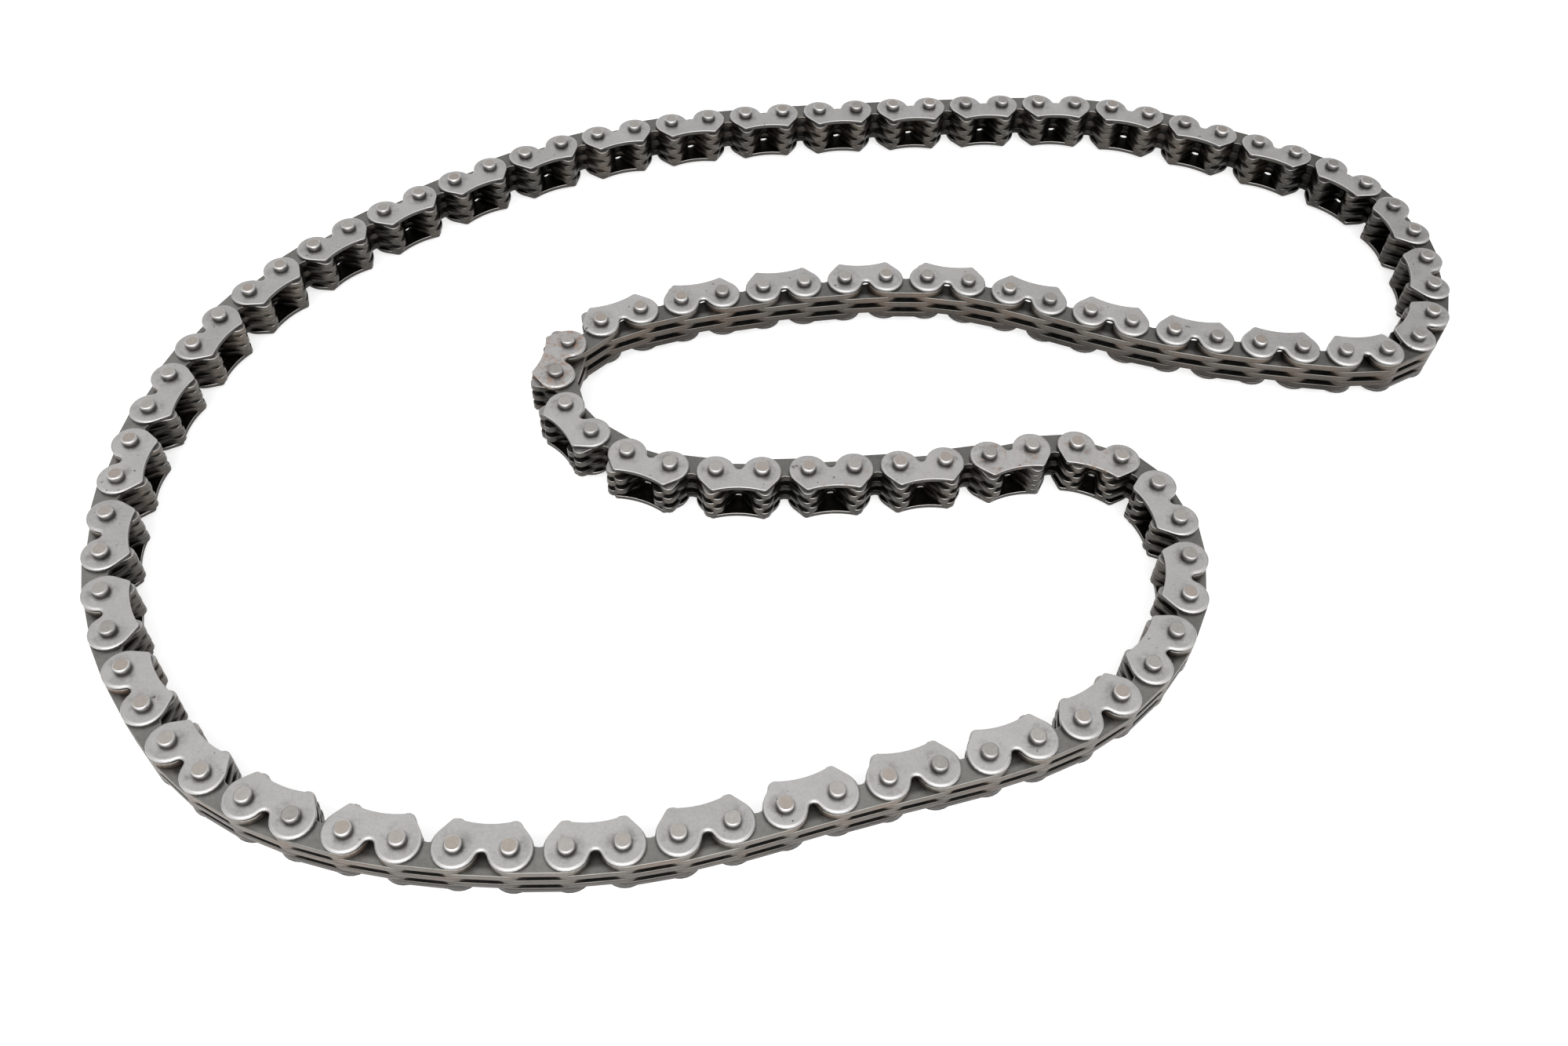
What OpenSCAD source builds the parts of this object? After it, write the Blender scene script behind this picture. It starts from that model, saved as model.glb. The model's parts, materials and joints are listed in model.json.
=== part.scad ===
// Inverted-tooth cam chain: an endless loop of toothed link plates on rivet pins, held between
// pairs of guide plates, lying on its side as a slack, folded loop.
// Millimetres, +Z up along the pins. The origin is under the middle of the loop, on the surface it lies on.

/* [Chain] */
// Distance between neighbouring pin centres
pitch = 6.35; // [5.5:0.05:8]
// Number of guide links; each is followed by one inner link
guide_links = 56; // [50:1:60]
// Toothed plates side by side in an inner link; a guide link holds one fewer
inner_plates = 3; // [2:1:4]

/* [Plate thickness] */
// Thickness of a toothed plate
toothed_t = 0.97; // [0.7:0.01:1.5]
// Thickness of a guide plate
guide_t = 0.65; // [0.5:0.01:1.2]
// Free space between neighbouring plates
side_gap = 0.03; // [0.02:0.01:0.1]

/* [Pins] */
// Diameter of a pin's shank
pin_d = 2; // [1.6:0.05:2.4]
// How far the riveted end is spread beyond the shank, all round
rivet_flare = 0.075; // [0.02:0.005:0.2]
// Height of the riveted end above the guide plate
rivet_h = 0.95; // [0.5:0.05:1.2]
// Rounding of the riveted end's rim
rim_r = 0.3; // [0.1:0.05:0.4]
// Radial running clearance of a toothed plate on its pin
running_gap = 0.03; // [0.02:0.01:0.08]

/* [Plate outline, as fractions of the pitch] */
// Radius of the round lobes about the pins
lobe_f = 0.425; // [0.35:0.005:0.45]
// Depth of a guide plate from the pin line to its tips
guide_tip_f = 0.55; // [0.5:0.01:0.62]
// How far a guide plate's tip centre stands outside the pin
guide_flare_f = 0.045; // [0.02:0.005:0.08]
// Radius of a guide plate's tip
guide_tip_r_f = 0.09; // [0.06:0.01:0.11]
// Distance from the pin line to the middle of a guide plate's hollow edge
guide_hollow_f = 0.465; // [0.42:0.005:0.49]
// Depth of the notch floor below a guide plate's lobes, past the pin line
notch_f = 0.06; // [0.04:0.01:0.1]
// Depth of a toothed plate from the pin line to its toes
toe_tip_f = 0.605; // [0.56:0.005:0.65]
// How far a toe's centre stands inside the pin
toe_inset_f = 0.04; // [0.01:0.01:0.06]
// Radius of a toe
toe_r_f = 0.15; // [0.1:0.01:0.16]
// Distance from the pin line to the top of the arch between the toes
arch_f = 0.08; // [0.05:0.01:0.16]
// Radius of the arch between the toes
arch_r_f = 0.21; // [0.17:0.01:0.22]

/* [Hidden] */
$fn = 48;

segments = 20;
link_count = 2*guide_links;
lobe_r = lobe_f*pitch;
layer = toothed_t + side_gap;
// Heights of the lower guide plate, the lowest toothed plate and the upper guide plate
guide_z = rivet_h;
toothed_z = guide_z + guide_t + side_gap;
upper_z = toothed_z + (2*inner_plates - 1)*layer;
pin_z = upper_z + guide_t + rivet_h;
rivet_r = pin_d/2 + rivet_flare;
// Overlap that makes crossing outlines meet at a clear angle
weld = 0.01;

// Guide points that the loop is drawn around, anticlockwise from above
route = [
    [-21, 63.5], [-45.5, 55], [-66.5, 38.5], [-79, 26.5], [-90, 10.5], [-96, -15], [-91.5, -41.5],
    [-79.5, -57], [-71.5, -65], [-54, -72], [-26, -72.5], [-9, -67.5], [8, -60.5], [34, -53],
    [47.5, -37], [49.5, -26], [48, -12], [35.5, -4.5], [24, -10], [5, -13], [-15.5, -15.5],
    [-26.5, -13.5], [-38, -5], [-40, 9], [-28, 16.5], [-11, 22], [16.5, 28], [33.5, 22.5],
    [52, 16.5], [71.5, 15], [85, 14], [93.5, 22.5], [95, 37.5], [93, 49], [85, 59.5], [66, 66],
    [48, 73], [30, 71.5], [3.5, 67.5]
];
// Where the first pin stands, in guide points along the route
route_start = 0.5;
// Rounds of the searches for a chord of one pitch and for the size at which the loop closes
chord_rounds = 5;
closing_rounds = 12;

function guide_point(i) = route[(i + 2*len(route)) % len(route)];
// Point of the smooth closed curve; u counts guide points
function curve(u) = let (i = floor(u), t = u - i)
    (pow(1 - t, 3)*guide_point(i - 1) + (3*pow(t, 3) - 6*pow(t, 2) + 4)*guide_point(i)
     + (-3*pow(t, 3) + 3*pow(t, 2) + 3*t + 1)*guide_point(i + 1) + pow(t, 3)*guide_point(i + 2))/6;
// Step in u whose straight chord is one pitch, on the curve enlarged k times
function chord_step(u, k, d, rounds) = rounds == 0 ? d
    : chord_step(u, k, d*pitch/norm(k*(curve(u + d) - curve(u))), rounds - 1);
// Values of u at all pins, the first one again at the end
function stations(k) = [
    for (i = 0, u = route_start, d = len(route)/link_count;
         i <= link_count;
         i = i + 1, d = chord_step(u, k, d, chord_rounds), u = u + d) u
];
// Enlargement at which exactly link_count chords of one pitch close the loop
function closing_scale(k, rounds) = rounds == 0 ? k
    : closing_scale(k*(stations(k)[link_count] - route_start)/len(route), rounds - 1);
function sum_from(list, i) = i == len(list) ? 0 : list[i] + sum_from(list, i + 1);
route_length = sum_from([for (i = [1:len(route)]) norm(curve(i) - curve(i - 1))], 0);
loop_scale = closing_scale(link_count*pitch/route_length, closing_rounds);
loop_pins = [for (u = stations(loop_scale)) loop_scale*curve(u)];
xs = [for (p = loop_pins) p.x];
ys = [for (p = loop_pins) p.y];
loop_middle = [min(xs) + max(xs), min(ys) + max(ys)]/2;

// Position of pin i, and the direction from it to the next one
function pin_at(i) = loop_pins[i % link_count] - loop_middle;
function heading(i) = let (v = pin_at(i + 1) - pin_at(i)) atan2(v.y, v.x);
// First guide link of segment s, counted from 0
function first_guide(s) = floor((s - 1)*guide_links/segments);
function guides_of(s) = [first_guide(s):first_guide(s + 1) - 1];

// Outside normal angle of the line that touches two circles, on the side away from the plate's middle
function touch_angle(c1, r1, c2, r2) = let (v = c2 - c1) atan2(v.y, v.x) + acos((r1 - r2)/norm(v));
function on_circle(c, r, a) = c + r*[cos(a), sin(a)];
function mirrored(points) = [for (i = [len(points) - 1:-1:0]) [pitch - points[i].x, points[i].y]];

// Puts children at the first pin of link i, with X towards the next pin and Y to the inside of the loop
module at_link(i) {
    translate([pin_at(i).x, pin_at(i).y, 0]) rotate([0, 0, heading(i)]) children();
}

module both_ends() {
    children();
    translate([pitch, 0]) mirror([1, 0]) children();
}

// Guide plate: two lobes with a notch between them, flanks that lean in, and a hollow edge between two tips
module guide_outline() {
    tip_r = guide_tip_r_f*pitch;
    tip = [-guide_flare_f, guide_tip_f - guide_tip_r_f]*pitch;
    a = touch_angle([0, 0], lobe_r, tip, tip_r);
    flank = [[0, 0], on_circle([0, 0], lobe_r - weld, a), on_circle(tip, tip_r - weld, a),
             tip, tip + [0, tip_r - weld]];
    // Circle of the hollow edge, through the tips' lowest points and the middle of the edge
    half = pitch/2 - tip.x;
    drop = guide_tip_f*pitch - guide_hollow_f*pitch;
    hollow_r = (half*half + drop*drop)/(2*drop);
    // Circle of the notch, which touches both lobes
    n = notch_f*pitch;
    notch_r = (pitch*pitch/4 + n*n - lobe_r*lobe_r)/(2*(lobe_r - n));
    web_y = (n + notch_r)*lobe_r/(lobe_r + notch_r);
    difference() {
        union() {
            difference() {
                polygon(concat(flank, mirrored(flank)));
                translate([pitch/2, guide_hollow_f*pitch + hollow_r]) circle(hollow_r);
            }
            both_ends() {
                circle(lobe_r);
                translate(tip) circle(tip_r);
            }
            translate([lobe_r/2, -web_y]) square([pitch - lobe_r, web_y + weld]);
        }
        translate([pitch/2, -n - notch_r]) circle(notch_r + weld);
        both_ends() circle(pin_d/2);
    }
}

// Toothed plate: straight back, round ends and two toes with an arch between them
module toothed_outline() {
    toe_r = toe_r_f*pitch;
    toe = [toe_inset_f, toe_tip_f - toe_r_f]*pitch;
    arch_r = arch_r_f*pitch;
    arch = [0.5, arch_f + arch_r_f]*pitch;
    a = touch_angle([0, 0], lobe_r, toe, toe_r);
    // Slope of the toes' inner sides, which touch the toe and the arch
    gap = arch - toe;
    b = atan2(gap.y, gap.x) + acos((toe_r + arch_r)/norm(gap));
    flank = [[0, 0], on_circle([0, 0], lobe_r - weld, a), on_circle(toe, toe_r - weld, a),
             toe, on_circle(toe, toe_r - weld/2, b)];
    // Line along a toe's inner side, from the arch to well past the toe
    start = on_circle(arch, arch_r - weld, b + 180);
    open = [start, start + 3*(on_circle(toe, toe_r - weld, b) - start)];
    difference() {
        union() {
            polygon(concat(flank, mirrored(flank)));
            translate([0, weld - lobe_r]) square([pitch, lobe_r]);
            both_ends() {
                circle(lobe_r);
                translate(toe) circle(toe_r);
            }
        }
        translate(arch) circle(arch_r);
        polygon(concat(open, mirrored(open)));
        both_ends() circle(pin_d/2 + running_gap);
    }
}

// Toothed plate in layer k, counted from 0 at the bottom
module toothed_plate(k) {
    translate([0, 0, toothed_z + k*layer]) linear_extrude(toothed_t) toothed_outline();
}

module guide_plates(s) {
    color("darkgray") for (g = guides_of(s)) at_link(2*g)
        for (z = [guide_z, upper_z]) translate([0, 0, z]) linear_extrude(guide_t) guide_outline();
}

module toothed_plates(s) {
    color("dimgray") for (g = guides_of(s)) {
        at_link(2*g) for (k = [1:inner_plates - 1]) toothed_plate(2*k - 1);
        at_link(2*g + 1) for (k = [0:inner_plates - 1]) toothed_plate(2*k);
    }
}

// Half of a pin's section: shank and riveted end with a rounded rim, up to the middle of the pin
module pin_half() {
    translate([0, rim_r]) square([pin_d/2, pin_z/2 - rim_r]);
    translate([0, rim_r]) square([rivet_r, rivet_h - rim_r]);
    square([rivet_r - rim_r, rim_r + weld]);
    translate([rivet_r - rim_r, rim_r]) circle(rim_r);
}

module rivet_pins(s) {
    color("silver") for (g = guides_of(s)) for (i = [2*g, 2*g + 1])
        translate([pin_at(i).x, pin_at(i).y, 0]) rotate_extrude() {
            pin_half();
            translate([0, pin_z]) mirror([0, 1]) pin_half();
        }
}

guide_plates(1);  // guide_plates_01
guide_plates(2);  // guide_plates_02
guide_plates(3);  // guide_plates_03
guide_plates(4);  // guide_plates_04
guide_plates(5);  // guide_plates_05
guide_plates(6);  // guide_plates_06
guide_plates(7);  // guide_plates_07
guide_plates(8);  // guide_plates_08
guide_plates(9);  // guide_plates_09
guide_plates(10);  // guide_plates_10
guide_plates(11);  // guide_plates_11
guide_plates(12);  // guide_plates_12
guide_plates(13);  // guide_plates_13
guide_plates(14);  // guide_plates_14
guide_plates(15);  // guide_plates_15
guide_plates(16);  // guide_plates_16
guide_plates(17);  // guide_plates_17
guide_plates(18);  // guide_plates_18
guide_plates(19);  // guide_plates_19
guide_plates(20);  // guide_plates_20
toothed_plates(1);  // toothed_plates_01
toothed_plates(2);  // toothed_plates_02
toothed_plates(3);  // toothed_plates_03
toothed_plates(4);  // toothed_plates_04
toothed_plates(5);  // toothed_plates_05
toothed_plates(6);  // toothed_plates_06
toothed_plates(7);  // toothed_plates_07
toothed_plates(8);  // toothed_plates_08
toothed_plates(9);  // toothed_plates_09
toothed_plates(10);  // toothed_plates_10
toothed_plates(11);  // toothed_plates_11
toothed_plates(12);  // toothed_plates_12
toothed_plates(13);  // toothed_plates_13
toothed_plates(14);  // toothed_plates_14
toothed_plates(15);  // toothed_plates_15
toothed_plates(16);  // toothed_plates_16
toothed_plates(17);  // toothed_plates_17
toothed_plates(18);  // toothed_plates_18
toothed_plates(19);  // toothed_plates_19
toothed_plates(20);  // toothed_plates_20
rivet_pins(1);  // rivet_pins_01
rivet_pins(2);  // rivet_pins_02
rivet_pins(3);  // rivet_pins_03
rivet_pins(4);  // rivet_pins_04
rivet_pins(5);  // rivet_pins_05
rivet_pins(6);  // rivet_pins_06
rivet_pins(7);  // rivet_pins_07
rivet_pins(8);  // rivet_pins_08
rivet_pins(9);  // rivet_pins_09
rivet_pins(10);  // rivet_pins_10
rivet_pins(11);  // rivet_pins_11
rivet_pins(12);  // rivet_pins_12
rivet_pins(13);  // rivet_pins_13
rivet_pins(14);  // rivet_pins_14
rivet_pins(15);  // rivet_pins_15
rivet_pins(16);  // rivet_pins_16
rivet_pins(17);  // rivet_pins_17
rivet_pins(18);  // rivet_pins_18
rivet_pins(19);  // rivet_pins_19
rivet_pins(20);  // rivet_pins_20
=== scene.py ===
"""Looks of a cam chain: stamped guide plates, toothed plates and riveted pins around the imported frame."""

import json
import logging
import math
import random
from abc import ABC, abstractmethod
from collections.abc import Iterator
from dataclasses import dataclass, field
from enum import Enum
from typing import Any

import bmesh
import bpy
from bmesh.types import BMEdge, BMesh, BMFace, BMVert
from bpy.types import Material, Mesh, NodeSocket, NodeTree, Object
from mathutils import Matrix, Vector
from mathutils.geometry import intersect_point_line

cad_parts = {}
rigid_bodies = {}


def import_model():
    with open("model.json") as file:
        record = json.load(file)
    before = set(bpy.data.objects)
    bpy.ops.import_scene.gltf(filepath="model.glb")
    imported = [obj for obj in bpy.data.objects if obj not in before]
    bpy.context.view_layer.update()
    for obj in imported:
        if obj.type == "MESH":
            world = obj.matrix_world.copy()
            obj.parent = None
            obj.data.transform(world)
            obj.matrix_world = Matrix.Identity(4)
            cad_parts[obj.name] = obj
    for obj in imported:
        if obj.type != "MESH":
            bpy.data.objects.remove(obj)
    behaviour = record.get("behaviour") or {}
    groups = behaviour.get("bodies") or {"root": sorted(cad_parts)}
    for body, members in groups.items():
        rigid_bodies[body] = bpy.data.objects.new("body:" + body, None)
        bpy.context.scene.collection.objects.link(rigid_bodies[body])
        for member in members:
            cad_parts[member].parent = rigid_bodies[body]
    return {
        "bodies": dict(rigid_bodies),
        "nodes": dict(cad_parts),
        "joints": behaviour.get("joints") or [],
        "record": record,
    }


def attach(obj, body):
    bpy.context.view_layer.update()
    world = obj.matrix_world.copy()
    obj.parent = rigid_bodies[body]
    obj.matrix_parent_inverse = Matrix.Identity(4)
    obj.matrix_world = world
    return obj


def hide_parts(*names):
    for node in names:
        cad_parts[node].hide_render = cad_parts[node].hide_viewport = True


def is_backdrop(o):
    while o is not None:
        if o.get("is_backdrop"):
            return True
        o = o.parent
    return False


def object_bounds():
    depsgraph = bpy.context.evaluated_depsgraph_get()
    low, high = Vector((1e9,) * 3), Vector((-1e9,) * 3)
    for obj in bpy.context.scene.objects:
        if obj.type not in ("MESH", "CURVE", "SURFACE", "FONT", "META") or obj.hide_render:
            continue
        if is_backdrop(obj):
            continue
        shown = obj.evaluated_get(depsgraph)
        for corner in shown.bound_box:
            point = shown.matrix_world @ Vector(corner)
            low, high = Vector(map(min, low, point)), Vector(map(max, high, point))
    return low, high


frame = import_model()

log = logging.getLogger("cam_chain")

MM = 0.001
PITCH = 6.35 * MM
BOX_AT_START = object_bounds()
# Name of the UV map with each corner's place on its plate
UV_NAME = "plate_mm"
# What every face holds: rounded rim, cut side, lightness of its copy, and rust
MARKS = ("rim", "edge", "tone", "stain")
# Corners nearer to each other than this become one
WELD = 0.002 * MM
# How far up normals point: on cut sides at most, and on flat sides and on level faces at least
UPRIGHT, FLAT, LEVEL = 0.1, 0.9, 0.99


class Side(Enum):
    """Which of a plate's two flat sides a rim belongs to."""

    LOWER = -1
    UPPER = 1


class Link(Enum):
    """The two kinds of link, by where the first of them stands in a segment."""

    GUIDE = 0
    INNER = 1


@dataclass(frozen=True)
class LinkSizes:
    """Sizes that plates and pins share, in metres, as the frame has them."""

    pitch: float = PITCH
    lobe_r: float = 0.425 * PITCH
    pin_r: float = 1.0 * MM
    rivet_r: float = 1.075 * MM
    rivet_h: float = 0.95 * MM
    guide_t: float = 0.65 * MM
    toothed_t: float = 0.97 * MM
    side_gap: float = 0.03 * MM
    running_gap: float = 0.03 * MM
    inner_plates: int = 3

    @property
    def layer(self) -> float:
        """Height from one toothed plate to the next."""
        return self.toothed_t + self.side_gap

    @property
    def layers(self) -> int:
        """Number of toothed plates above each other on one pin."""
        return 2 * self.inner_plates - 1

    @property
    def guide_z(self) -> float:
        """Height of the lower guide plates' undersides."""
        return self.rivet_h

    @property
    def toothed_z(self) -> float:
        """Height of the lowest toothed plates' undersides."""
        return self.guide_z + self.guide_t + self.side_gap

    @property
    def upper_z(self) -> float:
        """Height of the upper guide plates' undersides."""
        return self.toothed_z + self.layers * self.layer

    @property
    def pin_z(self) -> float:
        """Height of the pins' upper ends."""
        return self.upper_z + self.guide_t + self.rivet_h


SIZES = LinkSizes()
# Rims nearer to a pin's axis than this belong to a bore
BORE_REACH = 1.5 * SIZES.pin_r


# Shader maths

# A wire, or a number, a colour or a vector
Value = Any
Colour = tuple[float, float, float]
# Where a smooth step gives 0 and where it gives 1; on plates and in the loop they are in millimetres
Zone = tuple[float, float]


class Wire:
    """A shader socket on which Python's operators add Math nodes."""

    def __init__(self, maker: "NodeMaker", socket: NodeSocket | None) -> None:
        """Wraps one output socket."""
        self.maker = maker
        self.socket = socket

    def math(self, operation: str, *others: Value) -> "Wire":
        """Result of one Math node on this wire and on further wires or numbers."""
        inputs = dict(enumerate((self, *others)))
        return self.maker.node("ShaderNodeMath", {"operation": operation}, inputs)

    def __add__(self, other: Value) -> "Wire":
        """Sum."""
        return self.math("ADD", other)

    __radd__ = __add__

    def __sub__(self, other: Value) -> "Wire":
        """Difference."""
        return self.math("SUBTRACT", other)

    def __rsub__(self, other: Value) -> "Wire":
        """Difference from a number on the left."""
        return self.maker.node("ShaderNodeMath", {"operation": "SUBTRACT"}, {0: other, 1: self})

    def __mul__(self, other: Value) -> "Wire":
        """Product."""
        return self.math("MULTIPLY", other)

    __rmul__ = __mul__

    def __truediv__(self, other: Value) -> "Wire":
        """Quotient."""
        return self.math("DIVIDE", other)

    def swing(self, amount: float) -> "Wire":
        """Noise round 0 that goes half the amount each way, from noise between 0 and 1."""
        return (self - 0.5) * amount

    def between(self, low: float, high: float) -> "Wire":
        """Smooth step.

        Args:
            low: the value that gives 0.
            high: the value that gives 1; it may be below low.

        Returns:
            A value from 0 to 1.
        """
        if high < low:
            return 1 - self.between(high, low)
        inputs = {"Value": self, "From Min": low, "From Max": high}
        return self.maker.node("ShaderNodeMapRange", {"interpolation_type": "SMOOTHSTEP"}, inputs)


@dataclass(frozen=True)
class Pattern:
    """A noise pattern: waves in a millimetre, number and weight of its finer octaves, and a shift."""

    per_mm: float
    octaves: float
    weight: float
    shift: float = 0.0


@dataclass(frozen=True)
class Mottle:
    """How lightness varies round a mean: by cloud, by grain and from copy to copy."""

    cloud: float
    grain: float
    copy: float
    mean: float

    def lightness(self, cloud: Wire, grain: Wire, tone: Wire) -> Wire:
        """Lightness at each point, from the two noises and the copy's own tone."""
        return cloud.swing(self.cloud) + grain.swing(self.grain) + tone * self.copy + self.mean


@dataclass
class PlatePoint:
    """What a finish reads at a point of a plate: its marks and its place in millimetres.

    x runs from the plate's first pin to its second, and y to the loop's inside.
    """

    x: Wire
    y: Wire
    height: Wire
    rim: Wire
    edge: Wire
    tone: Wire

    def from_middle(self) -> Wire:
        """Distance along the plate from half way between its pins."""
        return (self.x - SIZES.pitch / MM / 2).math("ABSOLUTE")

    def from_pin(self) -> Wire:
        """Distance from the axis of the nearer pin."""
        along = self.from_middle() - SIZES.pitch / MM / 2
        return (along * along + self.y * self.y).math("SQRT")


class NodeMaker:
    """Makes the nodes of one material or world."""

    def __init__(self, tree: NodeTree) -> None:
        """Starts on an emptied tree."""
        self.tree = tree
        self.tree.nodes.clear()

    @classmethod
    def for_material(cls, name: str) -> "NodeMaker":
        """Starts a new material.

        Args:
            name: the material's name.

        Returns:
            The maker of its nodes.
        """
        material = bpy.data.materials.new(name)
        material.use_nodes = True
        return cls(material.node_tree)

    def node(self, kind: str, settings: dict[str, Any], inputs: dict[Any, Value], output: Any = 0) -> Wire:
        """Adds one node.

        Args:
            kind: the node's type.
            settings: its properties, set before its sockets.
            inputs: socket names or numbers, with wires or values.
            output: name or number of the output to return.

        Returns:
            The chosen output, if the node has any.
        """
        made = self.tree.nodes.new(kind)
        for key, value in settings.items():
            setattr(made, key, value)
        for key, value in inputs.items():
            if isinstance(value, Wire):
                self.tree.links.new(value.socket, made.inputs[key])
            else:
                made.inputs[key].default_value = value
        return Wire(self, made.outputs[output] if made.outputs else None)

    def split(self, vector: Wire, axes: str) -> tuple[Wire, ...]:
        """The parts of a vector along the named axes."""
        return tuple(self.node("ShaderNodeSeparateXYZ", {}, {0: vector}, axis) for axis in axes)

    def coordinates(self) -> Wire:
        """Object coordinates, in metres from the middle of the loop and up from the table."""
        return self.node("ShaderNodeTexCoord", {}, {}, "Object")

    def place(self, axis: str) -> Wire:
        """Place along one axis of the whole loop, in millimetres."""
        return self.split(self.coordinates(), axis)[0] / MM

    def mark(self, name: str) -> Wire:
        """A number that the mesh's faces hold under that name."""
        return self.node("ShaderNodeAttribute", {"attribute_name": name}, {}, "Fac")

    def plate(self) -> PlatePoint:
        """Reads a plate's place and marks."""
        x, y = self.split(self.node("ShaderNodeUVMap", {"uv_map": UV_NAME}, {}), "XY")
        return PlatePoint(x, y, self.place("Z"), self.mark("rim"), self.mark("edge"), self.mark("tone"))

    def noise(self, pattern: Pattern) -> Wire:
        """Noise on Object coordinates.

        Args:
            pattern: the noise's pattern.

        Returns:
            Values round 0.5.
        """
        shift = {0: self.coordinates(), 1: (pattern.shift,) * 3}
        inputs = {
            "Vector": self.node("ShaderNodeVectorMath", {"operation": "ADD"}, shift),
            "Scale": pattern.per_mm / MM,
            "Detail": pattern.octaves,
            "Roughness": pattern.weight,
        }
        return self.node("ShaderNodeTexNoise", {}, inputs, "Fac")

    def mix(self, factor: Value, first: Value, second: Value, blend: str = "MIX") -> Wire:
        """Mixes two colours.

        Args:
            factor: share of the second colour.
            first: a colour, as a wire or as red, green and blue.
            second: the other colour.
            blend: the Mix node's blend type.

        Returns:
            The mixed colour.
        """
        settings = {"data_type": "RGBA", "blend_type": blend, "clamp_factor": True}
        colours = [colour if isinstance(colour, Wire) else (*colour, 1.0) for colour in (first, second)]
        return self.node("ShaderNodeMix", settings, {0: factor, 6: colours[0], 7: colours[1]}, 2)

    def shaded(self, colour: Value, lightness: Wire) -> Wire:
        """A colour made darker or lighter, where a lightness of 1 leaves it as it is."""
        grey = self.node("ShaderNodeCombineColor", {}, {channel: lightness for channel in range(3)})
        return self.mix(1.0, colour, grey, "MULTIPLY")

    def finish(self, shader: dict[str, Value], bump: Wire | None = None, depth: float = 0.0) -> Material:
        """Adds the surface shader and the output.

        Args:
            shader: socket names of the Principled BSDF with their values.
            bump: height pattern, or None.
            depth: depth of the pattern in metres.

        Returns:
            The finished material.
        """
        inputs = dict(shader)
        if bump is not None:
            relief = {"Height": bump, "Distance": depth, "Strength": 1.0}
            inputs["Normal"] = self.node("ShaderNodeBump", {}, relief)
        surface = self.node("ShaderNodeBsdfPrincipled", {}, inputs)
        self.node("ShaderNodeOutputMaterial", {}, {"Surface": surface})
        return next(material for material in bpy.data.materials if material.node_tree == self.tree)


# Finishes


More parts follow.
